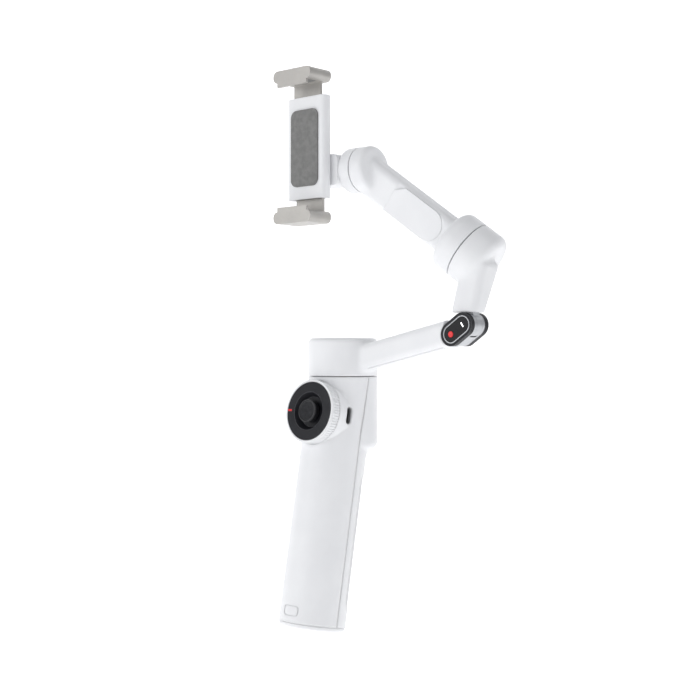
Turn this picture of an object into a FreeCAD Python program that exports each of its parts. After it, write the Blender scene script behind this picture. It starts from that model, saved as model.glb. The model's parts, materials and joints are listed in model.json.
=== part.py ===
import FreeCAD, Part

import math
import os

import Sketcher

# A hand-held three-axis stabilizer for a phone, +Z up and the controls facing -Y.
# The origin is the mouth of the tripod socket under the grip, and the pan axis is parallel to Z.

SIZES = {
    # grip and head
    "grip_lean": 10.6,
    "grip_radius": 18.5,
    "grip_length": 128.0,
    "wall": 2.2,
    "tab_height": 9.0,
    "tab_width": 10.4,
    "tab_length": 5.6,
    "tab_edge": 2.0,
    "tab_line": 0.4,
    "seam_gap": 0.2,
    "pan_offset": 25.8,
    "head_radius": 19.5,
    "head_low": 97.0,
    "head_top": 138.6,
    "head_rim": 5.0,
    "rest_low": 86.0,
    "rest_radius": 7.5,
    "pad_depth": 1.3,
    "pad_low": 12.0,
    "pad_high": 88.0,
    "pad_half_width": 17.0,
    "pad_edge": 6.0,
    "cap_height": 2.4,
    "cap_edge": 1.6,
    "cap_spigot": 4.0,
    "battery_radius": 9.0,
    "battery_low": 16.0,
    "battery_length": 65.0,
    "board_width": 24.0,
    "board_length": 36.0,
    "board_low": 48.0,
    "board_back": 8.4,
    "board_thickness": 1.6,
    "board_edge": 2.0,
    "small_edge": 0.8,
    "socket_radius": 3.2,
    "socket_depth": 9.0,
    "insert_radius": 5.5,
    # controls
    "dial_height": 117.5,
    "dial_radius": 16.2,
    "dial_face": 24.6,
    "wheel_radius": 17.6,
    "wheel_depth": 5.4,
    "boss_root": 5.0,
    "dial_root": 8.0,
    "wheel_clearance": 0.15,
    "tooth_count": 72,
    "tooth_radius": 0.42,
    "stick_radius": 6.4,
    "stick_rise": 1.4,
    "stick_drop": 7.9,
    "bowl_radius": 10.6,
    "bowl_depth": 3.4,
    "port_angle": -30.0,
    "port_height": 117.6,
    "port_length": 9.2,
    "port_width": 3.2,
    "port_mouth": 15.6,
    "port_floor": 6.5,
    "tongue_width": 6.4,
    "trigger_height": 106.0,
    "trigger_width": 12.0,
    "trigger_length": 17.0,
    # pan motor and pan arm
    "pan_low": 138.95,
    "pan_top": 160.5,
    "pan_edge": 2.4,
    "arm_rise": 12.2,
    "arm_height": 14.4,
    "arm_width": 14.0,
    "arm_length": 80.0,
    "arm_inset": 12.0,
    "arm_edge": 4.0,
    "channel_start": 22.0,
    "channel_length": 54.0,
    "cover_thickness": 1.8,
    "arm_start": 145.25,
    # fold hinge
    "hinge_x": 89.2,
    "hinge_z": 166.6,
    "hinge_y": 0.5,
    "hinge_slant": 34.0,
    "hinge_span": 8.8,
    "hinge_radius": 6.3,
    "hinge_length": 9.0,
    "bezel_thickness": 3.0,
    "button_radius": 1.6,
    "lamp_width": 0.8,
    "lamp_length": 2.7,
    "knuckle_width": 5.0,
    "knuckle_radius": 6.15,
    "neck_width": 8.0,
    "neck_height": 6.45,
    "limb_left": 9.8,
    "limb_right": 6.8,
    "limb_depth": 11.5,
    "limb_top_left": 5.0,
    "limb_top_right": 11.8,
    "limb_top_front": 2.8,
    "limb_top_back": 13.2,
    "limb_length": 27.5,
    "limb_edge": 4.0,
    "fold_pin_radius": 1.5,
    # roll motor
    "roll_x": 82.0,
    "roll_y": 8.0,
    "roll_z": 206.0,
    "roll_radius": 16.6,
    "roll_back": 15.0,
    "roll_front": 12.5,
    "roll_edge": 4.5,
    # tilt motor
    "tilt_x": 25.0,
    "tilt_y": -11.0,
    "tilt_z": 252.0,
    "tilt_radius": 12.5,
    "tilt_half": 9.0,
    "motor_gap": 0.5,
    "tilt_edge": 2.6,
    "roll_arm_width": 20.0,
    "roll_arm_depth": 13.0,
    "roll_arm_start": 8.0,
    "cover_start": 17.0,
    "cover_reach": 26.0,
    # motors' insides
    "neck_radius": 7.0,
    "neck_clearance": 0.05,
    "shaft_radius": 2.5,
    "shaft_clearance": 0.05,
    "bearing_radius": 5.5,
    "bearing_width": 3.5,
    "magnet_wall": 1.8,
    "air_gap": 0.5,
    # clamp
    "clamp_z": 264.4,
    "clamp_front": -31.0,
    "clamp_depth": 7.0,
    "clamp_half_width": 14.0,
    "clamp_half_height": 28.0,
    "clamp_edge": 2.6,
    "rail_width": 20.0,
    "rail_thickness": 1.5,
    "rail_length": 30.0,
    "jaw_gap": 70.6,
    "jaw_half_width": 14.0,
    "jaw_height": 6.6,
    "jaw_reach": 10.5,
    "jaw_lip": 2.4,
    "jaw_edge": 3.0,
    "jaw_pad": 1.2,
    "bracket_left": 1.5,
    "bracket_width": 16.0,
    "bracket_height": 17.0,
}

doc = FreeCAD.newDocument("gimbal_stabilizer")
sheet = doc.addObject("Spreadsheet::Sheet", "sizes")
for row, (alias, number) in enumerate(SIZES.items(), start=1):
    sheet.set(f"A{row}", alias)
    sheet.set(f"B{row}", str(number))
    sheet.setAlias(f"B{row}", alias)
doc.recompute()

X = FreeCAD.Vector(1, 0, 0)
Y = FreeCAD.Vector(0, 1, 0)
Z = FreeCAD.Vector(0, 0, 1)
sub_parts = []


def size(alias):
    """A driving dimension, read from the sheet."""
    return float(sheet.get(alias))


def linked(formula):
    """A formula of sheet aliases as an expression that refers to the sheet's cells."""
    words = str(formula)
    for mark in "+-*/()":
        words = words.replace(mark, f" {mark} ")
    return " ".join(f"sizes.{word}" if word in SIZES else word for word in words.split())


def worth(formula):
    """The number that a formula of sheet aliases comes to, worked out by the sheet itself."""
    return float(sheet.evalExpression(str(formula)))


def frame(origin=(0, 0, 0), z_axis=Z, x_axis=X):
    """A placement whose Z and X point along the two directions given."""
    y_axis = z_axis.cross(x_axis).normalize()
    true_x = y_axis.cross(z_axis).normalize()
    rotation = FreeCAD.Rotation(true_x, y_axis, z_axis, "ZXY")
    return FreeCAD.Placement(FreeCAD.Vector(*origin), rotation)


def gap(low, high):
    """The distance from one formula to another, as a formula."""
    return f"( {high} ) - ( {low} )"


def shift(x=0, y=0, z=0):
    """A placement that only moves, by formulas of sheet aliases."""
    return FreeCAD.Placement(FreeCAD.Vector(worth(x), worth(y), worth(z)), FreeCAD.Rotation())


def turn(axis, angle):
    """A placement that only turns about an axis through the origin, in degrees."""
    return FreeCAD.Placement(FreeCAD.Vector(), FreeCAD.Rotation(axis, angle))


BEYOND = 40  # far enough for a cutting tool to pass right through
WORLD = FreeCAD.Placement()
GRIP = turn(X, -size("grip_lean"))
PAN = shift(y="pan_offset")
SLOPE = PAN * shift(z="arm_start") * turn(Y, -size("arm_rise"))
HINGE = PAN * shift("hinge_x", "hinge_y", "hinge_z") * turn(X, 90)
BLOCK = PAN * shift("hinge_x", "hinge_y", "hinge_z") * turn(Y, -size("hinge_slant"))
ROLL_CENTRE = FreeCAD.Vector(size("roll_x"), size("roll_y") + size("pan_offset"), size("roll_z"))
TILT_CENTRE = FreeCAD.Vector(size("tilt_x"), size("tilt_y") + size("pan_offset"), size("tilt_z"))
ROLL_AXIS = (TILT_CENTRE - ROLL_CENTRE).normalize()
ROLL_LENGTH = (TILT_CENTRE - ROLL_CENTRE).Length
ROLL = frame(ROLL_CENTRE, ROLL_AXIS, ROLL_AXIS.cross(Y) * -1)
TILT = frame(TILT_CENTRE, X * -1, Z)
DIAL = GRIP * shift(z="dial_height") * turn(X, 90)
CLAMP = PAN * shift(z="clamp_z")


def bind(item, **formulas):
    """Tie an object's properties to the sheet."""
    for prop, formula in formulas.items():
        item.setExpression(prop, linked(formula))
    return item


def name_for(kind):
    """A fresh internal name, such as box_7."""
    return f"{kind}_{len(doc.Objects)}"


def cylinder(radius, height, place=WORLD, centred=False):
    """A cylinder along the placement's Z, from its origin or centred on it."""
    item = bind(doc.addObject("Part::Cylinder", name_for("cylinder")), Radius=radius, Height=height)
    item.Placement = place * shift(z=f"0 - ( {height} ) / 2") if centred else place
    return item


def cone(low_radius, high_radius, height, place=WORLD):
    """A cone along the placement's Z."""
    item = doc.addObject("Part::Cone", name_for("cone"))
    bind(item, Radius1=low_radius, Radius2=high_radius, Height=height)
    item.Placement = place
    return item


def box(length, width, height, place=WORLD, centred=""):
    """A box in the placement's own directions, centred along the axes named."""
    item = bind(doc.addObject("Part::Box", name_for("box")), Length=length, Width=width, Height=height)
    sides = {"x": length, "y": width, "z": height}
    back = [f"0 - ( {sides[axis]} ) / 2" if axis in centred else 0 for axis in "xyz"]
    item.Placement = place * shift(*back)
    return item


def fuse(*pieces):
    """One solid made of several that touch."""
    item = doc.addObject("Part::MultiFuse", name_for("fuse"))
    item.Shapes = list(pieces)
    item.Refine = True
    return item


def cut(base, *tools):
    """The base with each tool taken away."""
    for tool in tools:
        item = doc.addObject("Part::Cut", name_for("cut"))
        item.Base = base
        item.Tool = tool
        base = item
    return base


def common(base, tool):
    """What two solids share."""
    item = doc.addObject("Part::Common", name_for("common"))
    item.Base = base
    item.Tool = tool
    return item


def rounded(base, radius, wanted):
    """The base with every edge that passes the test rounded to a sheet radius."""
    doc.recompute()
    item = doc.addObject("Part::Fillet", name_for("fillet"))
    item.Base = base
    reach = worth(radius)
    chosen = [k for k, edge in enumerate(base.Shape.Edges, start=1) if wanted(edge)]
    item.Edges = [(k, reach, reach) for k in chosen]
    return item


def along(direction, place=WORLD):
    """A test for straight edges along one of a placement's directions."""
    line = place.Rotation.multVec(direction)

    def wanted(edge):
        if not isinstance(edge.Curve, Part.Line):
            return False
        return edge.Curve.Direction.cross(line).Length < 1e-6

    return wanted


def ring_at(height, radius, place=WORLD):
    """A test for circular edges at a height and radius in a placement."""
    back = place.inverse()

    def wanted(edge):
        if not isinstance(edge.Curve, Part.Circle):
            return False
        centre = back.multVec(edge.Curve.Center)
        return abs(centre.z - worth(height)) < 0.01 and abs(edge.Curve.Radius - worth(radius)) < 0.01

    return wanted


def sub_part(label, item):
    """Name a finished sub-part. Its label is its file's name."""
    item.Label = label
    sub_parts.append(item)
    return item


def profile(body, role, points):
    """A closed outline of straight lines whose corners are all tied to the sheet."""
    sketch = body.newObject("Sketcher::SketchObject", f"{body.Name}_outline")
    plane = next(item for item in body.Origin.OriginFeatures if item.Role == role)
    sketch.AttachmentSupport = [(plane, "")]
    sketch.MapMode = "FlatFace"
    corners = [FreeCAD.Vector(worth(x), worth(y), 0) for x, y in points]
    count = len(corners)
    for k in range(count):
        sketch.addGeometry(Part.LineSegment(corners[k], corners[(k + 1) % count]))
    for k in range(count):
        sketch.addConstraint(Sketcher.Constraint("Coincident", k, 2, (k + 1) % count, 1))
    for k, (x, y) in enumerate(points):
        for kind, formula, value, line in (
            ("DistanceX", x, corners[k].x, -2),
            ("DistanceY", y, corners[k].y, -1),
        ):
            if abs(value) < 1e-9:
                sketch.addConstraint(Sketcher.Constraint("PointOnObject", k, 1, line))
                continue
            index = sketch.addConstraint(Sketcher.Constraint(kind, -1, 1, k, 1, value))
            sketch.setExpression(f"Constraints[{index}]", linked(formula))
    return sketch


def turned(label, points, place=WORLD):
    """A turned piece: an outline of (radius, height) corners revolved about Z."""
    body = doc.addObject("PartDesign::Body", f"{label}_body")
    sketch = profile(body, "XZ_Plane", points)
    revolution = body.newObject("PartDesign::Revolution", f"{label}_turned")
    revolution.Profile = sketch
    revolution.ReferenceAxis = (sketch, ["V_Axis"])
    revolution.Angle = 360
    sketch.Visibility = False
    body.Placement = place
    doc.recompute()
    return body


def softened(body, radius, wanted):
    """Round the edges of a body's tip that pass the test, which sees them in the body's own frame."""
    tip = body.Tip
    edges = [f"Edge{k}" for k, edge in enumerate(tip.Shape.Edges, start=1) if wanted(edge)]
    fillet = body.newObject("PartDesign::Fillet", f"{body.Name}_soft_{len(doc.Objects)}")
    fillet.Base = (tip, edges)
    bind(fillet, Radius=radius)
    doc.recompute()
    return body


def tube_points(inner, outer, low, high):
    """The outline of a plain ring."""
    return [(inner, low), (outer, low), (outer, high), (inner, high)]


# ---- the handle: two shells that meet on the plane through the grip's own axis ----


def handle_outside(inset):
    """The leaning grip and the upright head as one solid, set in by a wall."""
    grip = cylinder(f"grip_radius - {inset}", "grip_length", GRIP * shift(z="cap_height"))
    head = cylinder(f"head_radius - {inset}", f"head_top - head_low - {inset}", PAN * shift(z="head_low"))
    head = rounded(head, "head_rim", ring_at("head_low", f"head_radius - {inset}", PAN))
    rest = cone(f"rest_radius - {inset}", f"head_radius - 2.6 - {inset}", "head_low + 2 - rest_low",
                PAN * shift(z="rest_low"))
    return fuse(grip, head, rest)


def half_space(front):
    """Everything on one side of the seam, in the grip's frame."""
    side = "0 - 80 - seam_gap / 2" if front else "seam_gap / 2"
    return box(120, 80, 240, GRIP * shift(-60, side, -20))


def handle_shell(front):
    """Half of the hollow handle."""
    hollow = cut(handle_outside("0"), handle_outside("wall"))
    return common(hollow, half_space(front))


def pad_space(depth, half_width, low, high):
    """The space of the palm pad: a slab behind the grip, between two heights."""
    ring = cut(
        cylinder("grip_radius + 1", gap(low, high), GRIP * shift(z=low)),
        cylinder(f"grip_radius - ( {depth} )", gap(low, high), GRIP * shift(z=low)),
    )
    slab = box(f"2 * {half_width}", BEYOND, gap(low, high), GRIP * shift(0, 2, low), centred="x")
    return common(ring, rounded(slab, "pad_edge", along(Y, GRIP)))


PORT = GRIP * shift(z="port_height") * turn(Z, size("port_angle")) * turn(Y, 90)


def port_space(extra, reach):
    """The stadium of the charging port, long along the grip."""
    half = "( port_length - port_width ) / 2"
    ends = [
        cylinder(f"port_width / 2 + {extra}", reach, PORT * shift(x=f"{sign} ( {half} )"))
        for sign in ("0 -", "0 +")
    ]
    middle = box(f"2 * ( {half} )", f"port_width + 2 * ( {extra} )", reach, PORT, centred="xy")
    return fuse(middle, *ends)


TRIGGER = PAN * shift(z="trigger_height")


def trigger_space(extra, low, high):
    """The rounded window of the trigger, through the back of the head."""
    block = box(
        f"trigger_width + 2 * {extra}", gap(low, high), f"trigger_length + 2 * {extra}",
        TRIGGER * shift(y=low), centred="xz",
    )
    return rounded(block, f"3 + {extra}", along(Y, TRIGGER))


def dial_boss(radius, low, high):
    """A round post on the dial's axis, measured out from the grip's axis."""
    return cylinder(radius, gap(low, high), DIAL * shift(z=low))


def head_hole():
    """The hole in the head's top that the pan motor's neck drops into."""
    return cylinder("neck_radius + neck_clearance", 20, PAN * shift(z="head_top - 12"))


WHEEL_BACK = "dial_face - 1 - wheel_depth"

front = handle_shell(front=True)
boss = cut(dial_boss("wheel_radius - 0.2", "boss_root", f"{WHEEL_BACK} - 0.3"), handle_outside("wall"))
front = fuse(front, boss)


def tab_line():
    """A fine rounded outline low on the front of the grip, where the strap tab sits."""
    tab = GRIP * shift(y=-BEYOND, z="tab_height")
    outer = rounded(box("tab_width", BEYOND, "tab_length", tab, centred="xz"), "tab_edge", along(Y, GRIP))
    inner = rounded(
        box("tab_width - 2 * tab_line", BEYOND, "tab_length - 2 * tab_line", tab, centred="xz"),
        "tab_edge - tab_line", along(Y, GRIP),
    )
    return cut(outer, inner, cylinder("grip_radius - tab_line", "grip_length", GRIP))


front = cut(
    front,
    tab_line(),
    dial_boss("bowl_radius + 1.4", "dial_root", BEYOND),
    dial_boss("wheel_radius + 0.3", f"{WHEEL_BACK} - 0.3", BEYOND),
    port_space("0.1", BEYOND),
    head_hole(),
)
sub_part("front_shell", front)

rear = cut(
    handle_shell(front=False),
    pad_space("pad_depth", "pad_half_width + 0.3", "pad_low - 0.3", "pad_high + 0.3"),
    trigger_space("0.3", 8, BEYOND),
    head_hole(),
)
sub_part("rear_shell", rear)

pad_body = common(
    pad_space("pad_depth - 0.1", "pad_half_width", "pad_low", "pad_high"),
    cylinder("grip_radius - 0.4", "grip_length", GRIP),
)
sub_part("palm_pad", pad_body)

cap = turned(
    "bottom_cap",
    [
        ("insert_radius", 0), ("grip_radius - 0.2", 0), ("grip_radius - 0.2", "cap_height - 0.1"),
        ("grip_radius - wall - 0.15", "cap_height - 0.1"),
        ("grip_radius - wall - 0.15", "cap_height + cap_spigot"),
        ("grip_radius - wall - 2", "cap_height + cap_spigot"), ("grip_radius - wall - 2", "cap_height"),
        ("insert_radius + 2", "cap_height"), ("insert_radius + 2", "socket_depth + 1"),
        ("insert_radius", "socket_depth + 1"),
    ],
    GRIP,
)
sub_part("bottom_cap", softened(cap, "cap_edge", ring_at(0, "grip_radius - 0.2")))

sub_part("tripod_insert", turned(
    "tripod_insert",
    [
        ("socket_radius", 0), ("insert_radius - 0.05", 0), ("insert_radius - 0.05", "socket_depth + 1"),
        (0, "socket_depth + 1"), (0, "socket_depth"), ("socket_radius", "socket_depth"),
    ],
    GRIP,
))

battery = cylinder("battery_radius", "battery_length", GRIP * shift(y=-3, z="battery_low"))
battery_top = ring_at("battery_low + battery_length", "battery_radius", GRIP)
sub_part("battery_cell", rounded(battery, "small_edge", battery_top))
board = box("board_width", "board_thickness", "board_length", GRIP * shift(0, "board_back", "board_low"),
            centred="x")
sub_part("main_board", rounded(board, "board_edge", along(Y, GRIP)))

socket_shell = cut(port_space("0", "port_mouth"), port_space("0 - 0.35", BEYOND))
socket_base = box("port_length", "port_width", 1.5, PORT * shift(z="port_floor"), centred="xy")
socket_tongue = box("tongue_width", 0.8, 7, PORT * shift(z="port_floor + 1"), centred="xy")
inner_core = cylinder("port_floor + 1", "grip_length", GRIP)
sub_part("charging_socket", fuse(cut(socket_shell, inner_core), socket_base, socket_tongue))

# ---- controls ----

MARKER = DIAL * shift("0 - dial_radius + 0.5", 0, "dial_face - 1")
face = turned(
    "dial_face",
    [
        ("bowl_radius + 1.2", "dial_face - 9"), ("bowl_radius + 1.2", "dial_face - 1.2"),
        ("dial_radius", "dial_face - 0.9"), ("dial_radius", "dial_face - 0.3"),
        ("bowl_radius", "dial_face"), ("stick_radius + 2", "dial_face - bowl_depth"),
        ("stick_radius - 3", "dial_face - bowl_depth"), ("stick_radius - 3", "dial_face - 6"),
        ("bowl_radius", "dial_face - 6"), ("bowl_radius", "dial_face - 9"),
    ],
    DIAL,
)
sub_part("dial_face", cut(face, box(2.9, 1.1, 2, MARKER, centred="y")))
sub_part("dial_marker", box(2.8, 1.0, 0.9, MARKER * shift(x=0.05, z=0.02), centred="y"))

wheel = turned(
    "control_wheel",
    [
        ("bowl_radius + 1.5", WHEEL_BACK), ("wheel_radius", WHEEL_BACK),
        ("wheel_radius", "dial_face - 0.7"), ("dial_radius + wheel_clearance", "dial_face - 0.5"),
        ("dial_radius + wheel_clearance", "dial_face - 1.5"), ("bowl_radius + 1.5", "dial_face - 1.5"),
    ],
    DIAL,
)
notch_sketch = wheel.newObject("Sketcher::SketchObject", "notch_outline")
notch_plane = next(item for item in wheel.Origin.OriginFeatures if item.Role == "XY_Plane")
notch_sketch.AttachmentSupport = [(notch_plane, "")]
notch_sketch.MapMode = "FlatFace"
notch_sketch.AttachmentOffset = shift(z=WHEEL_BACK)
notch_centre = FreeCAD.Vector(size("wheel_radius"), 0, 0)
notch_sketch.addGeometry(Part.Circle(notch_centre, Z, size("tooth_radius")))
notch_sketch.addConstraint(Sketcher.Constraint("PointOnObject", 0, 3, -1))
notch_reach = notch_sketch.addConstraint(Sketcher.Constraint("DistanceX", -1, 1, 0, 3, size("wheel_radius")))
notch_sketch.setExpression(f"Constraints[{notch_reach}]", linked("wheel_radius"))
notch_round = notch_sketch.addConstraint(Sketcher.Constraint("Radius", 0, size("tooth_radius")))
notch_sketch.setExpression(f"Constraints[{notch_round}]", linked("tooth_radius"))
smooth_volume = wheel.Shape.Volume
notch = wheel.newObject("PartDesign::Pocket", "notch")
notch.Profile = notch_sketch
notch.Reversed = True
bind(notch, Length="wheel_depth - 0.6")
doc.recompute()
notches = wheel.newObject("PartDesign::PolarPattern", "notches")
notches.Originals = [notch]
notches.Axis = (notch_sketch, ["N_Axis"])
notches.Angle = 360
bind(notches, Occurrences="tooth_count")
wheel.Tip = notches
doc.recompute()
print("control wheel: smooth", round(smooth_volume, 1), "notched", round(wheel.Shape.Volume, 1))
sub_part("control_wheel", wheel)

STICK = DIAL * shift(z="dial_face - stick_drop - 0.5")
ring_hole = cylinder("stick_radius - 0.6", 1, STICK)
sub_part("stick_ring", cut(cylinder("stick_radius + 1.4", 1, STICK), ring_hole))
stick = turned(
    "joystick",
    [
        (0, "dial_face - stick_drop - 0.4"), (2, "dial_face - stick_drop - 0.4"),
        (2, "dial_face - bowl_depth + 0.9"),
        ("stick_radius - 0.4", "dial_face - bowl_depth + 1.2"), ("stick_radius", "dial_face + 0.6"),
        ("stick_radius", "dial_face + stick_rise - 0.4"), ("stick_radius - 0.5", "dial_face + stick_rise"),
        ("stick_radius - 1.2", "dial_face + stick_rise - 0.5"), (0, "dial_face + stick_rise - 0.8"),
    ],
    DIAL,
)
sub_part("joystick", stick)

trigger_block = common(
    trigger_space("0", "head_radius - 6", "head_radius + 1.6"),
    cylinder("head_radius + 1.2", "trigger_length", TRIGGER * shift(z="0 - trigger_length / 2")),
)
sub_part("trigger", trigger_block)

# ---- motors: each has its seam at z = 0 of its own frame, its stator's seat below and its cup above ----


def cup(label, radius, edge, depth, place):
    """A motor's turning cup, open towards the seam, with its outer rim rounded."""
    body = turned(
        label,
        [
            (f"{radius} - wall", "motor_gap / 2"), (radius, "motor_gap / 2"), (radius, depth), (0, depth),
            (0, f"{depth} - wall"), (f"{radius} - wall", f"{depth} - wall"),
        ],
        place,
    )
    return softened(body, edge, ring_at(depth, radius))


def seat(label, radius, edge, depth, place):
    """The fixed can behind a motor: closed at the back, with the neck's hole in front."""
    body = turned(
        label,
        [
            ("neck_radius + neck_clearance", "0 - motor_gap / 2"), (radius, "0 - motor_gap / 2"),
            (radius, f"0 - {depth}"),
            (0, f"0 - {depth}"), (0, f"wall - {depth}"), (f"{radius} - wall", f"wall - {depth}"),
            (f"{radius} - wall", "0 - motor_gap / 2 - wall"),
            ("neck_radius + neck_clearance", "0 - motor_gap / 2 - wall"),
        ],
        place,
    )
    return softened(body, edge, ring_at(f"0 - {depth}", radius))


def motor_core(name, radius, depth, place):
    """What a motor holds: wound stator, magnet ring, bearing and shaft."""
    windings = f"{radius} - wall - 0.1 - magnet_wall - air_gap"
    sub_part(f"{name}_stator", turned(
        f"{name}_stator",
        [
            ("bearing_radius", -2.6), ("neck_radius", -2.6), ("neck_radius", 0.9), (windings, 0.9),
            (windings, f"{depth} - wall - 1"), ("bearing_radius", f"{depth} - wall - 1"),
        ],
        place,
    ))
    sub_part(f"{name}_magnets", turned(
        f"{name}_magnets",
        tube_points(f"{radius} - wall - magnet_wall", f"{radius} - wall", 0.8, f"{depth} - wall - 0.1"),
        place,
    ))
    sub_part(f"{name}_bearing", turned(
        f"{name}_bearing",
        tube_points("shaft_radius + shaft_clearance", "bearing_radius", 0, "bearing_width"),
        place,
    ))
    sub_part(f"{name}_shaft", turned(
        f"{name}_shaft",
        [(0, -2), ("shaft_radius", -2), ("shaft_radius", f"{depth} - wall"), (0, f"{depth} - wall")],
        place,
    ))


def neck_room(place):
    """The hole that a stator's neck passes through."""
    return cylinder("neck_radius + neck_clearance", 8, place * shift(z=-6))


PAN_MOTOR = PAN * shift(z="pan_low - motor_gap / 2")
PAN_DEPTH = "( pan_top - pan_low )"
motor_core("pan", "head_radius", PAN_DEPTH, PAN_MOTOR)
motor_core("roll", "roll_radius", "roll_front", ROLL)
motor_core("tilt", "tilt_radius", "tilt_half", TILT)

# ---- pan arm and its fold hinge ----


def capsule(radius, low, high, place=BLOCK):
    """A bar with two round ends across the hinge, from one Y to another beside its middle."""
    ends = [
        cylinder(radius, gap(low, high), place * shift(x=f"0 - {back}", y=high) * turn(X, 90))
        for back in ("0", "hinge_span")
    ]
    middle = box("hinge_span", gap(low, high), f"2 * ( {radius} )", place * shift(x="0 - hinge_span", y=low),
                 centred="z")
    return fuse(middle, *ends)


HALF_BLOCK = "hinge_length / 2"
BEZEL_FRONT = f"0 - {HALF_BLOCK} - bezel_thickness"

pan_cup = cup("pan_cup", "head_radius", "pan_edge", PAN_DEPTH, PAN_MOTOR)
bar = box("arm_length - arm_inset", "arm_width", "arm_height", SLOPE * shift(x="arm_inset"), centred="yz")
bar = rounded(bar, "arm_edge", along(X, SLOPE))
arm = fuse(pan_cup, bar)
pan_room = cylinder("head_radius - wall", f"{PAN_DEPTH} - wall", PAN_MOTOR)
arm_room = box("channel_length", "arm_width - 5", "arm_height - 4",
               SLOPE * shift(x="channel_start", z="0 - arm_height / 2 - 1"), centred="y")
capsule_room = capsule("hinge_radius + 0.05", f"{BEZEL_FRONT} - 2", f"{HALF_BLOCK} + bezel_thickness")
arm = cut(arm, pan_room, arm_room, capsule_room)
sub_part("pan_arm", arm)

cover = box("channel_length - 0.2", "arm_width - 5.2", "cover_thickness",
            SLOPE * shift(x="channel_start + 0.1", z="0 - arm_height / 2 + 0.05"), centred="y")
sub_part("pan_arm_cover", cover)

knuckle_room = cylinder("hinge_radius + 0.3", "knuckle_width + 0.4",
                        HINGE * shift(z="0 - ( knuckle_width + 0.4 ) / 2"))
pin_room = cylinder("fold_pin_radius", 40, HINGE * shift(z=-20))
block = cut(capsule("hinge_radius - 0.15", f"0 - {HALF_BLOCK}", HALF_BLOCK), knuckle_room, pin_room)
sub_part("hinge_block", block)
sub_part("fold_pin", cylinder("fold_pin_radius", "hinge_length - 0.2",
                              HINGE * shift(z="0 - hinge_length / 2 + 0.1")))
sub_part("rear_bezel", capsule("hinge_radius", HALF_BLOCK, f"{HALF_BLOCK} + bezel_thickness"))

PANEL_BACK = f"( {BEZEL_FRONT} + 1.8 )"
bezel = cut(
    capsule("hinge_radius", BEZEL_FRONT, f"0 - {HALF_BLOCK}"),
    capsule("hinge_radius - 1.5", f"( {BEZEL_FRONT} - 1 )", PANEL_BACK),
)
sub_part("front_bezel", bezel)
trim = cut(
    capsule("hinge_radius - 1.55", f"( {BEZEL_FRONT} + 0.1 )", PANEL_BACK),
    capsule("hinge_radius - 2", f"( {BEZEL_FRONT} - 1 )", f"( {PANEL_BACK} + 1 )"),
)
sub_part("bezel_trim", trim)
RECORD = BLOCK * shift(x="0 - hinge_span", y=BEZEL_FRONT) * turn(X, 90)
LIGHT = BLOCK * shift(y=BEZEL_FRONT) * turn(X, 90)
panel = cut(
    capsule("hinge_radius - 2.05", f"( {BEZEL_FRONT} + 0.2 )", PANEL_BACK),
    cylinder("button_radius + 0.1", 6, RECORD * shift(z=-3)),
    box("lamp_width + 0.1", "lamp_length + 0.1", 6, LIGHT * shift(z=-3), centred="xy"),
)
sub_part("status_panel", panel)
button = cylinder("button_radius", 1, RECORD * shift(z=-1))
sub_part("record_button", rounded(button, 0.25, ring_at(0, "button_radius", RECORD)))
sub_part("status_light", box("lamp_width", "lamp_length", 0.9, LIGHT * shift(z=-1.15), centred="xy"))

# ---- upper arm: a limb from the fold hinge up to the roll motor's can ----

LIMB = PAN * shift("hinge_x", "hinge_y", "hinge_z")
pin_clear = cylinder("fold_pin_radius + shaft_clearance", 40, HINGE * shift(z=-20))
knuckle = cylinder("knuckle_radius", "knuckle_width", HINGE, centred=True)
neck = box("neck_width", "knuckle_width", "neck_height", LIMB, centred="xy")
sub_part("hinge_knuckle", cut(fuse(knuckle, neck), pin_clear))

limb = doc.addObject("Part::Wedge", "limb")
bind(
    limb,
    Xmin="0 - limb_left", Xmax="limb_right", X2min="0 - limb_top_left", X2max="limb_top_right",
    Zmin="0 - limb_depth / 2", Zmax="limb_depth / 2", Z2min="0 - limb_top_back", Z2max="limb_top_front",
    Ymin="0", Ymax="limb_length",
)
limb.Placement = LIMB * shift(z="neck_height") * turn(X, 90)
limb = rounded(limb, "limb_edge", lambda edge: edge.BoundBox.ZMax > worth("hinge_z + neck_height + 1"))
roll_can = seat("roll_can", "roll_radius", "roll_edge", "roll_back", ROLL)
can_room = cylinder("roll_radius - wall", "roll_back - 2 * wall - motor_gap / 2",
                    ROLL * shift(z="wall - roll_back"))
front_room = cylinder(60, 60, ROLL * shift(z="0 - motor_gap / 2"))
upper = cut(fuse(limb, roll_can), can_room, front_room, neck_room(ROLL))
sub_part("upper_arm", upper)

# ---- roll arm: the roll motor's cup, a bar behind the phone and the tilt motor's can ----

roll_cup = cup("roll_cup", "roll_radius", "roll_edge", "roll_front", ROLL)
BAR = ROLL * shift(z="roll_arm_start")
BAR_LENGTH = f"{ROLL_LENGTH:.3f} - roll_arm_start"
roll_bar = rounded(
    box("roll_arm_width", "roll_arm_depth", BAR_LENGTH, BAR, centred="xy"), 4, along(Z, ROLL),
)
tilt_can = seat("tilt_can", "tilt_radius", "tilt_edge", "tilt_half", TILT)
tilt_room = cylinder("tilt_radius - wall", "tilt_half - 2 * wall - motor_gap / 2",
                     TILT * shift(z="wall - tilt_half"))
roll_room = cylinder("roll_radius - wall", "roll_front - wall", ROLL)
beyond_tilt = box(80, 80, 80, TILT * shift(z="0 - motor_gap / 2"), centred="xy")
COVER = BAR * shift(y="0 - roll_arm_depth / 2", z="cover_start") * turn(X, 90)


def bar_cover(half_width, low, high):
    """A plate with a round end, set into the bar's front face."""
    tail = box(f"2 * {half_width}", "cover_reach", gap(low, high), COVER * shift(z=low), centred="x")
    return fuse(tail, cylinder(half_width, gap(low, high), COVER * shift(z=low)))


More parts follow.
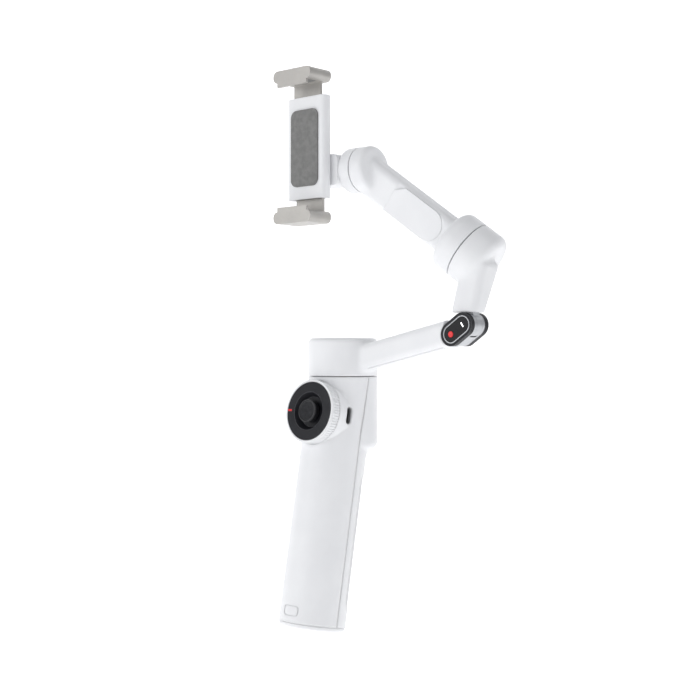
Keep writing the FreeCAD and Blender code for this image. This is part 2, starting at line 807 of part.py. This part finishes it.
roll_arm = cut(
    fuse(roll_cup, roll_bar, tilt_can),
    tilt_room, roll_room, beyond_tilt, neck_room(TILT),
    bar_cover("( roll_arm_width / 2 - 1.2 )", "0 - 1.2", "4"),
)
sub_part("roll_arm", roll_arm)
sub_part("roll_arm_cover", cut(
    bar_cover("( roll_arm_width / 2 - 1.35 )", "0 - 1.15", "0 - 0.05"),
    cylinder("tilt_radius + 0.1", 60, TILT * shift(z=-40)),
))

# ---- clamp: the tilt motor's cup, a hollow back with two sliding rails, and the jaws ----

tilt_cup = cup("tilt_cup", "tilt_radius", "tilt_edge", "tilt_half", TILT)
BRACKET_DEPTH = "( tilt_y - clamp_front - clamp_depth )"
bracket = box("bracket_width", BRACKET_DEPTH, "bracket_height",
              PAN * shift(x="bracket_left", y="clamp_front + clamp_depth", z="tilt_z"), centred="z")
bracket = rounded(bracket, 3, along(Y))
tilt_inside = cylinder("tilt_radius - wall", "tilt_half - wall", TILT)
sub_part("tilt_hub", cut(fuse(tilt_cup, bracket), tilt_inside))

housing = box("2 * clamp_half_width", "clamp_depth", "2 * clamp_half_height",
              CLAMP * shift(y="clamp_front"), centred="xz")
housing = rounded(housing, "clamp_edge", along(Z))
rail_room = box("rail_width + 0.6", "2 * rail_thickness + 1", "2 * clamp_half_height + 2",
                CLAMP * shift(y="clamp_front + 1.6"), centred="xz")
sub_part("clamp_back", cut(housing, rail_room))
rest = box("rail_width", 0.9, "1.5 * clamp_half_height", CLAMP * shift(y="clamp_front - 0.9"), centred="xz")
sub_part("back_pad", rounded(rest, 4, along(Y)))


def jaw(up):
    """A jaw with its rail, above or below the phone."""
    base = CLAMP if up else CLAMP * turn(Y, 180)
    layer = 1.8 if up else "1.8 + rail_thickness + 0.3"
    rail = box("rail_width", "rail_thickness", "rail_length + 1",
               base * shift(y=f"clamp_front + {layer}", z="jaw_gap / 2 - rail_length"), centred="x")
    block = box("2 * jaw_half_width", "jaw_reach + 6", "jaw_height",
                base * shift(y="clamp_front - jaw_reach", z="jaw_gap / 2"), centred="x")
    block = rounded(block, "jaw_edge", along(Y, base))
    lip = box("2 * jaw_half_width - 6", 1.6, "jaw_lip + 2",
              base * shift(y="clamp_front - jaw_reach", z="jaw_gap / 2 - jaw_lip"), centred="x")
    pad_room = box("2 * jaw_half_width - 8", "jaw_reach - 3.4", "jaw_pad",
                   base * shift(y="clamp_front - jaw_reach + 2", z="jaw_gap / 2"), centred="x")
    pad = box("2 * jaw_half_width - 8.2", "jaw_reach - 3.6", "jaw_pad",
              base * shift(y="clamp_front - jaw_reach + 2.1", z="jaw_gap / 2 - 0.1"), centred="x")
    name = "upper_jaw" if up else "lower_jaw"
    sub_part(name, cut(fuse(rail, block, lip), pad_room))
    sub_part(f"{name}_pad", pad)


jaw(up=True)
jaw(up=False)

# ---- checks, then one file for each sub-part ----

doc.recompute()
for item in doc.Objects:
    if "Invalid" in item.State or "Error" in item.State:
        raise RuntimeError(f"{item.Label} failed: {item.State}")
os.makedirs("parts", exist_ok=True)
for item in sub_parts:
    shape = item.Shape
    if shape.isNull() or not shape.isValid() or shape.Volume < 0.01:
        raise RuntimeError(f"{item.Label} has no sound shape")
    print(f"{item.Label:20s} {len(shape.Solids)} solid(s) {shape.Volume:10.1f} mm3")
    shape.exportStep(f"parts/{item.Label}.step")
print(len(sub_parts), "sub-parts")
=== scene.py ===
import json
import math

import bmesh
import bpy
import numpy as np
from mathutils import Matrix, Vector


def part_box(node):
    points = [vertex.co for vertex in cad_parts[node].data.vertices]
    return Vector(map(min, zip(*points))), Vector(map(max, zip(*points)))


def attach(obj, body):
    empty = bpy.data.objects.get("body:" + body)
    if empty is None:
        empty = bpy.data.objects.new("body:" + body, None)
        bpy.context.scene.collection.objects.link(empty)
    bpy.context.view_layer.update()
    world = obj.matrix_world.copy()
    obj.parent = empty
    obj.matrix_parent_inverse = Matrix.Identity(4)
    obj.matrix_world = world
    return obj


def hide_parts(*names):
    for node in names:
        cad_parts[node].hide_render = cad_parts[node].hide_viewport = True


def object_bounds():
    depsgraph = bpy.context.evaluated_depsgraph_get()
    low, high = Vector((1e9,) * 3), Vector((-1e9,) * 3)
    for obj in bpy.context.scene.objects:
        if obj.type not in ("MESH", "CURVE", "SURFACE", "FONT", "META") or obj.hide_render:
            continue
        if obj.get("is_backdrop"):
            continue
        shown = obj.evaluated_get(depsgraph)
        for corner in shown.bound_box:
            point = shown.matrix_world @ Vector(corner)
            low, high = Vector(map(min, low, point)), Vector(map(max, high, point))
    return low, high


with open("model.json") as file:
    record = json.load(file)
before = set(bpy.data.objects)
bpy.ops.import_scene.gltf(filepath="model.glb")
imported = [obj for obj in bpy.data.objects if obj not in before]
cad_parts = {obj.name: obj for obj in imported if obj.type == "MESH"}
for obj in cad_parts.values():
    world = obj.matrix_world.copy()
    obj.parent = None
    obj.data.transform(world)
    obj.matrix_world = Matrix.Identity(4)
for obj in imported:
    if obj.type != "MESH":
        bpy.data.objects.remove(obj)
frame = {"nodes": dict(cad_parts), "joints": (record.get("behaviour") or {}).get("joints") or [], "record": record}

nodes = frame["nodes"]
record = frame["record"]
joints = {joint["name"]: joint for joint in frame["joints"]}
cad_low, cad_high = (Vector(corner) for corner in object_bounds())

# ---- camera: level, in front and to the right, at the height of the pan motor ----

PAN_POINT = Vector(joints["pan"]["pos_m"])
CAMERA_AZIMUTH = math.radians(42)
CAMERA_DISTANCE = 0.715
CAMERA_HEIGHT = 0.1535
CAMERA_SIDESTEP = 0.004
FOCAL_LENGTH = 64.8  # in millimetres, while the other lengths are in metres
NEAR_CLIP = 0.01

toward_camera = Vector((math.sin(CAMERA_AZIMUTH), -math.cos(CAMERA_AZIMUTH), 0))
camera_right = Vector((math.cos(CAMERA_AZIMUTH), math.sin(CAMERA_AZIMUTH), 0))


def make_camera():
    """The camera looks level along the photograph's direction."""
    data = bpy.data.cameras.new("camera")
    data.lens = FOCAL_LENGTH
    data.clip_start = NEAR_CLIP
    camera = bpy.data.objects.new("camera", data)
    bpy.context.scene.collection.objects.link(camera)
    place = Vector((PAN_POINT.x, PAN_POINT.y, CAMERA_HEIGHT))
    camera.location = place + toward_camera * CAMERA_DISTANCE + camera_right * CAMERA_SIDESTEP
    camera.rotation_euler = (math.pi / 2, 0, CAMERA_AZIMUTH)
    bpy.context.scene.camera = camera


# ---- materials ----

BEVEL_SAMPLES = 4
EDGE_DOT = 0.82  # at this product of the true and the softened normal, the edge factor is 1
FLAT_DOT = 0.995  # and from this one on it is 0
EDGE_RADIUS = 0.0004
FINE_EDGE_RADIUS = 0.0003
COAT_ROUGHNESS = 0.12
PIMPLE_HEIGHT = 0.00006


class Recipe:
    """A node material under construction, with short calls for what every finish here uses."""

    def __init__(self, name):
        self.material = bpy.data.materials.new(name)
        self.material.use_nodes = True
        self.tree = self.material.node_tree
        self.shader = self.tree.nodes["Principled BSDF"]
        self.place = self.node("ShaderNodeTexCoord").outputs["Object"]

    def node(self, kind, **settings):
        made = self.tree.nodes.new(kind)
        for key, value in settings.items():
            setattr(made, key, value)
        return made

    def link(self, source, target):
        self.tree.links.new(source, target)

    def noise(self, scale, detail=4.0, stretch=None):
        """Noise whose scale is in cells to the metre, stretched along an axis if asked."""
        texture = self.node("ShaderNodeTexNoise")
        texture.inputs["Scale"].default_value = scale
        texture.inputs["Detail"].default_value = detail
        source = self.place
        if stretch:
            mapping = self.node("ShaderNodeMapping")
            mapping.inputs["Scale"].default_value = stretch
            self.link(self.place, mapping.inputs["Vector"])
            source = mapping.outputs["Vector"]
        self.link(source, texture.inputs["Vector"])
        return texture.outputs["Fac"]

    def between(self, factor, low, high, start=0.35, end=0.65):
        """A value that goes from low to high as the factor passes from start to end."""
        ramp = self.node("ShaderNodeMapRange")
        ramp.inputs["From Min"].default_value = start
        ramp.inputs["From Max"].default_value = end
        ramp.inputs["To Min"].default_value = low
        ramp.inputs["To Max"].default_value = high
        self.link(factor, ramp.inputs["Value"])
        return ramp.outputs["Result"]

    def mix(self, factor, first, second):
        """Two colours mixed by a factor."""
        mixer = self.node("ShaderNodeMix", data_type="RGBA")
        self.link(factor, mixer.inputs["Factor"])
        for index, colour in ((6, first), (7, second)):
            if isinstance(colour, tuple):
                mixer.inputs[index].default_value = (*colour, 1)
            else:
                self.link(colour, mixer.inputs[index])
        return mixer.outputs[2]

    def edges(self, radius):
        """A factor that is 1 on an edge and 0 off it, and the normal softened over the radius."""
        bevel = self.node("ShaderNodeBevel", samples=BEVEL_SAMPLES)
        bevel.inputs["Radius"].default_value = radius
        geometry = self.node("ShaderNodeNewGeometry")
        product = self.node("ShaderNodeVectorMath", operation="DOT_PRODUCT")
        self.link(bevel.outputs["Normal"], product.inputs[0])
        self.link(geometry.outputs["Normal"], product.inputs[1])
        edge = self.between(product.outputs["Value"], 1.0, 0.0, EDGE_DOT, FLAT_DOT)
        return edge, bevel.outputs["Normal"]

    def bump(self, height, depth, normal=None):
        """Relief of the given depth in metres, over a softened normal if one is given."""
        relief = self.node("ShaderNodeBump")
        relief.inputs["Distance"].default_value = depth
        relief.inputs["Strength"].default_value = 1.0
        self.link(height, relief.inputs["Height"])
        if normal:
            self.link(normal, relief.inputs["Normal"])
        self.link(relief.outputs["Normal"], self.shader.inputs["Normal"])

    def set(self, **values):
        """Plain values or links for the shader's inputs, by name with _ for spaces."""
        for key, value in values.items():
            target = self.shader.inputs[key.replace("_", " ")]
            if isinstance(value, bpy.types.NodeSocket):
                self.link(value, target)
            else:
                target.default_value = value


def moulded(name, colour, shade, edge_highlight, rough=(0.38, 0.5), grain=9000, depth=0.000012, coat=0.0,
            shine=0.5, soft=EDGE_RADIUS):
    """Moulded plastic: fine spark-eroded grain, faint mottling and edges lightened by a painted highlight."""
    recipe = Recipe(name)
    edge, soft_normal = recipe.edges(soft)
    mottled = recipe.mix(recipe.between(recipe.noise(60), 0, 1), colour, shade)
    recipe.bump(recipe.noise(grain, 3), depth, soft_normal)
    recipe.set(
        # the third colour is a painted highlight laid along edges and creases
        Base_Color=recipe.mix(edge, mottled, edge_highlight),
        Roughness=recipe.between(recipe.noise(260), *rough),
        Coat_Weight=coat,
        Coat_Roughness=COAT_ROUGHNESS,
        Specular_IOR_Level=shine,
    )
    return recipe.material


def metal(name, colour, shade, rough=(0.22, 0.34), stretch=None, grain=5200, depth=0.000008, metallic=1.0):
    """Worked metal: blasted or brushed relief, patchy tone and edges brightened by a painted highlight."""
    recipe = Recipe(name)
    edge, soft_normal = recipe.edges(FINE_EDGE_RADIUS)
    toned = recipe.mix(recipe.between(recipe.noise(90), 0, 1), colour, shade)
    # a lighter tone painted on the edges as a highlight
    edge_glint = tuple(min(1.0, part * 1.15 + 0.04) for part in colour)
    recipe.bump(recipe.noise(grain, 5, stretch), depth, soft_normal)
    recipe.set(
        Base_Color=recipe.mix(edge, toned, edge_glint),
        Metallic=metallic,
        Roughness=recipe.between(recipe.noise(700, 4, stretch), *rough),
    )
    return recipe.material


def pimpled_rubber(name, colour, shade, spacing=0.00042, shine=0.5, soft=FINE_EDGE_RADIUS):
    """Soft rubber with a fine pattern of round pimples and a painted highlight on its edges."""
    recipe = Recipe(name)
    dots = recipe.node("ShaderNodeTexVoronoi", feature="F1")
    dots.inputs["Scale"].default_value = 1 / spacing
    dots.inputs["Randomness"].default_value = 0.25
    recipe.link(recipe.place, dots.inputs["Vector"])
    edge, soft_normal = recipe.edges(soft)
    raised = recipe.between(dots.outputs["Distance"], 1, 0, 0.25, 0.5)
    recipe.bump(raised, PIMPLE_HEIGHT, soft_normal)
    toned = recipe.mix(recipe.between(recipe.noise(400), 0, 1), colour, shade)
    recipe.set(
        # the edges take a lighter tone, a painted highlight ring
        Base_Color=recipe.mix(edge, toned, tuple(0.6 * part + 0.12 for part in colour)),
        Roughness=recipe.between(recipe.noise(900), 0.5, 0.68),
        Specular_IOR_Level=shine,
    )
    return recipe.material


def glowing(name, colour, strength):
    """A small lit diffuser."""
    recipe = Recipe(name)
    dimmer = tuple(part * 0.93 for part in colour)
    tone = recipe.mix(recipe.between(recipe.noise(3000), 0, 1), colour, dimmer)
    recipe.set(Base_Color=tone, Roughness=0.3, Emission_Color=tone, Emission_Strength=strength)
    recipe.bump(recipe.noise(6000), 0.000005)
    return recipe.material


# base tone, mottle tone, and a lighter edge tone that is a painted highlight
SHELL_TONES = ((0.83, 0.835, 0.85), (0.80, 0.805, 0.822), (0.87, 0.873, 0.885))
# in each moulded finish the third colour is a painted highlight on the edges, far lighter than the base on the
# black finishes
FINISHES = {
    "shell_white": moulded("shell_white", *SHELL_TONES),
    "soft_white": moulded("soft_white", (0.77, 0.775, 0.79), (0.74, 0.745, 0.76), (0.82, 0.825, 0.835),
                          rough=(0.52, 0.62), grain=5200, depth=0.00003),
    "black_plastic": moulded("black_plastic", (0.011, 0.0115, 0.015), (0.016, 0.0165, 0.02),
                             (0.15, 0.153, 0.165), rough=(0.36, 0.46), grain=7000, shine=0.22, soft=0.0005),
    "black_gloss": moulded("black_gloss", (0.004, 0.004, 0.006), (0.007, 0.007, 0.009), (0.03, 0.03, 0.034),
                           rough=(0.16, 0.22), grain=1500, depth=0.000002, coat=0.04, shine=0.16),
    "stick_rubber": pimpled_rubber("stick_rubber", (0.014, 0.0145, 0.017), (0.02, 0.0205, 0.024),
                                   shine=0.25, soft=0.0006),
    "silver_metal": metal("silver_metal", (0.52, 0.53, 0.55), (0.48, 0.49, 0.51), rough=(0.32, 0.4),
                          stretch=(1, 1, 6), metallic=0.75),
    "jaw_metal": metal("jaw_metal", (0.47, 0.455, 0.43), (0.43, 0.415, 0.395), rough=(0.36, 0.48),
                       metallic=0.55),
    "grey_rubber": pimpled_rubber("grey_rubber", (0.2, 0.2, 0.195), (0.16, 0.16, 0.157), 0.0008),
    "red_plastic": glowing("red_plastic", (0.72, 0.012, 0.016), 0.1),
    "light_white": glowing("light_white", (0.95, 0.95, 0.95), 1.2),
    "steel": metal("steel", (0.56, 0.57, 0.58), (0.48, 0.49, 0.5), stretch=(1, 1, 20)),
    "magnet_metal": metal("magnet_metal", (0.42, 0.42, 0.44), (0.34, 0.34, 0.36)),
    "copper_winding": metal("copper_winding", (0.55, 0.24, 0.11), (0.42, 0.17, 0.08), stretch=(1, 1, 40)),
    "battery_wrap": moulded("battery_wrap", (0.03, 0.1, 0.3), (0.025, 0.08, 0.25), (0.1, 0.2, 0.4)),
    "board_green": moulded("board_green", (0.01, 0.12, 0.05), (0.008, 0.09, 0.04), (0.3, 0.3, 0.1)),
}
# the handle's shells: softened normal and painted edge highlight spread over 2.2 mm, so their creases are
# lightened too
BLENDED_SHELL = moulded("blended_shell", *SHELL_TONES, soft=0.0022)
BLENDED_NODES = ("front_shell", "rear_shell")


def finish_nodes():
    """Each CAD node takes the finish of its own slot, and the handle's shells a softer-edged one."""
    for entry in record["subparts"]:
        mesh = nodes[entry["node"]].data
        mesh.materials.clear()
        blended = entry["node"] in BLENDED_NODES
        mesh.materials.append(BLENDED_SHELL if blended else FINISHES[entry["material_slot"]])


# ---- skins: the same mouldings with their inner corners filled, as a mould leaves them ----


SKIN_VOXEL = 0.00055
SKIN_ROUNDS = 60
ROUND_SHARE = 0.5  # how much of the way to its neighbours' middle a point goes in one round
RIM_REACH = 0.0035
CREST_YIELD = 0.02  # how far an outer edge gives way, beside 1 for a hollow


def relaxed(points, edges, rounds, keep):
    """Points eased towards their neighbours, each by the share of its move that keep allows."""
    count = np.bincount(edges.ravel(), minlength=len(points)).astype(float)[:, None]
    first, second = edges[:, 0], edges[:, 1]
    for _ in range(rounds):
        total = np.zeros_like(points)
        np.add.at(total, first, points[second])
        np.add.at(total, second, points[first])
        moves = total / np.maximum(count, 1) - points
        points = points + moves * keep(points, moves)[:, None] * ROUND_SHARE
    return points


def skin_of(node, rims):
    """A remeshed copy of a moulding with filleted junctions, left sharp near its motor seams."""
    source = nodes[node]
    piece = source.copy()
    piece.data = source.data.copy()
    piece.name = f"{node}_skin"
    piece.parent = None
    bpy.context.scene.collection.objects.link(piece)
    modifier = piece.modifiers.new("remesh", "REMESH")
    modifier.mode = "VOXEL"
    modifier.voxel_size = SKIN_VOXEL
    evaluated = piece.evaluated_get(bpy.context.evaluated_depsgraph_get())
    mesh = bpy.data.meshes.new_from_object(evaluated)
    piece.modifiers.clear()
    piece.data = mesh
    points = np.empty(len(mesh.vertices) * 3)
    mesh.vertices.foreach_get("co", points)
    points = points.reshape(-1, 3)
    edges = np.empty(len(mesh.edges) * 2, dtype=int)
    mesh.edges.foreach_get("vertices", edges)
    edges = edges.reshape(-1, 2)
    normals = np.array([vertex.normal for vertex in mesh.vertices])

    def keep(now, moves):
        outward = (moves * normals).sum(1)
        weight = np.where(outward > 0, 1.0, CREST_YIELD)
        for centre, axis in rims:
            far = np.abs((now - np.array(centre)) @ np.array(axis))
            weight = weight * np.clip(far / RIM_REACH, 0, 1) ** 2
        return weight

    points = relaxed(points, edges, SKIN_ROUNDS, keep)
    mesh.vertices.foreach_set("co", points.ravel())
    for polygon in mesh.polygons:
        polygon.use_smooth = True
    mesh.update()
    return piece


def seam(joint):
    """The point and the direction that set a joint's seam plane."""
    return joints[joint]["pos_m"], joints[joint]["axis"]


def add_skins():
    """Skins for the three arm mouldings; each row says the node, its body and the seams on it."""
    work = (
        ("pan_arm", "pan_arm", [((0, 0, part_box("pan_arm")[0][2]), (0, 0, 1))]),
        ("upper_arm", "upper_arm", [seam("roll")]),
        ("roll_arm", "roll_arm", [seam("roll"), seam("tilt")]),
    )
    for node, body, rims in work:
        piece = skin_of(node, rims)
        piece.data.materials.clear()
        piece.data.materials.append(FINISHES["shell_white"])
        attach(piece, body)
        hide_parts(node)


# ---- studio ----

FLOOR_DROP = 0.03
FLOOR_FRONT = -1.5
FLOOR_BACK = 0.9
SWEEP_BEND = 0.5
SWEEP_STEPS = 16
SWEEP_HEIGHT = 2.6
SWEEP_HALF_WIDTH = 3.0
PAPER_TONE = (0.93, 0.93, 0.935, 1)
PAPER_ROUGHNESS = 0.9
PAPER_GLOW = 0.6
SKY_TONE = (0.96, 0.975, 1.0, 1)
SKY_STRENGTH = 0.4
LAMP_FORWARD = 0.55
# each lamp: name, share to the right, share up (beside LAMP_FORWARD), distance, width, watts
LAMPS = (
    ("key", -1.3, 0.35, 1.0, 0.7, 2.7),
    ("fill", 1.5, 0.1, 1.2, 0.5, 1.0),
    ("top", 0.1, 1.6, 1.1, 0.7, 1.8),
)


def make_sweep():
    """A pale floor that bends up into a backdrop."""
    floor_height = cad_low.z - FLOOR_DROP
    profile = [(FLOOR_FRONT, 0.0), (FLOOR_BACK, 0.0)]
    for k in range(SWEEP_STEPS + 1):
        angle = math.pi / 2 * k / SWEEP_STEPS
        profile.append((FLOOR_BACK + SWEEP_BEND * math.sin(angle), SWEEP_BEND * (1 - math.cos(angle))))
    profile.append((FLOOR_BACK + SWEEP_BEND, SWEEP_HEIGHT))
    mesh = bmesh.new()
    rows = []
    for reach, height in profile:
        middle = Vector((PAN_POINT.x, PAN_POINT.y, floor_height + height)) - toward_camera * reach
        rows.append([
            mesh.verts.new(middle + camera_right * side) for side in (-SWEEP_HALF_WIDTH, SWEEP_HALF_WIDTH)
        ])
    for low, high in zip(rows, rows[1:]):
        mesh.faces.new((low[0], low[1], high[1], high[0]))
    data = bpy.data.meshes.new("sweep")
    mesh.to_mesh(data)
    mesh.free()
    for polygon in data.polygons:
        polygon.use_smooth = True
    sweep = bpy.data.objects.new("sweep", data)
    bpy.context.scene.collection.objects.link(sweep)
    paper = Recipe("studio_paper")
    paper.set(
        Base_Color=PAPER_TONE, Roughness=PAPER_ROUGHNESS,
        Emission_Color=(1, 1, 1, 1), Emission_Strength=PAPER_GLOW,
    )
    data.materials.append(paper.material)
    sweep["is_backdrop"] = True


def make_lamps():
    """Soft light from above, the left and the right, and a pale sky."""
    centre = (cad_low + cad_high) / 2
    for name, along, up, distance, width, power in LAMPS:
        data = bpy.data.lights.new(name, "AREA")
        data.size = width
        data.energy = power
        lamp = bpy.data.objects.new(name, data)
        bpy.context.scene.collection.objects.link(lamp)
        direction = (camera_right * along + Vector((0, 0, up)) + toward_camera * LAMP_FORWARD).normalized()
        lamp.location = centre + direction * distance
        lamp.rotation_euler = direction.to_track_quat("Z", "Y").to_euler()
    world = bpy.data.worlds.new("studio")
    world.use_nodes = True
    sky = world.node_tree.nodes["Background"]
    sky.inputs["Color"].default_value = SKY_TONE
    sky.inputs["Strength"].default_value = SKY_STRENGTH
    bpy.context.scene.world = world
    bpy.context.scene.view_settings.view_transform = "Standard"


make_camera()
finish_nodes()
add_skins()
make_sweep()
make_lamps()
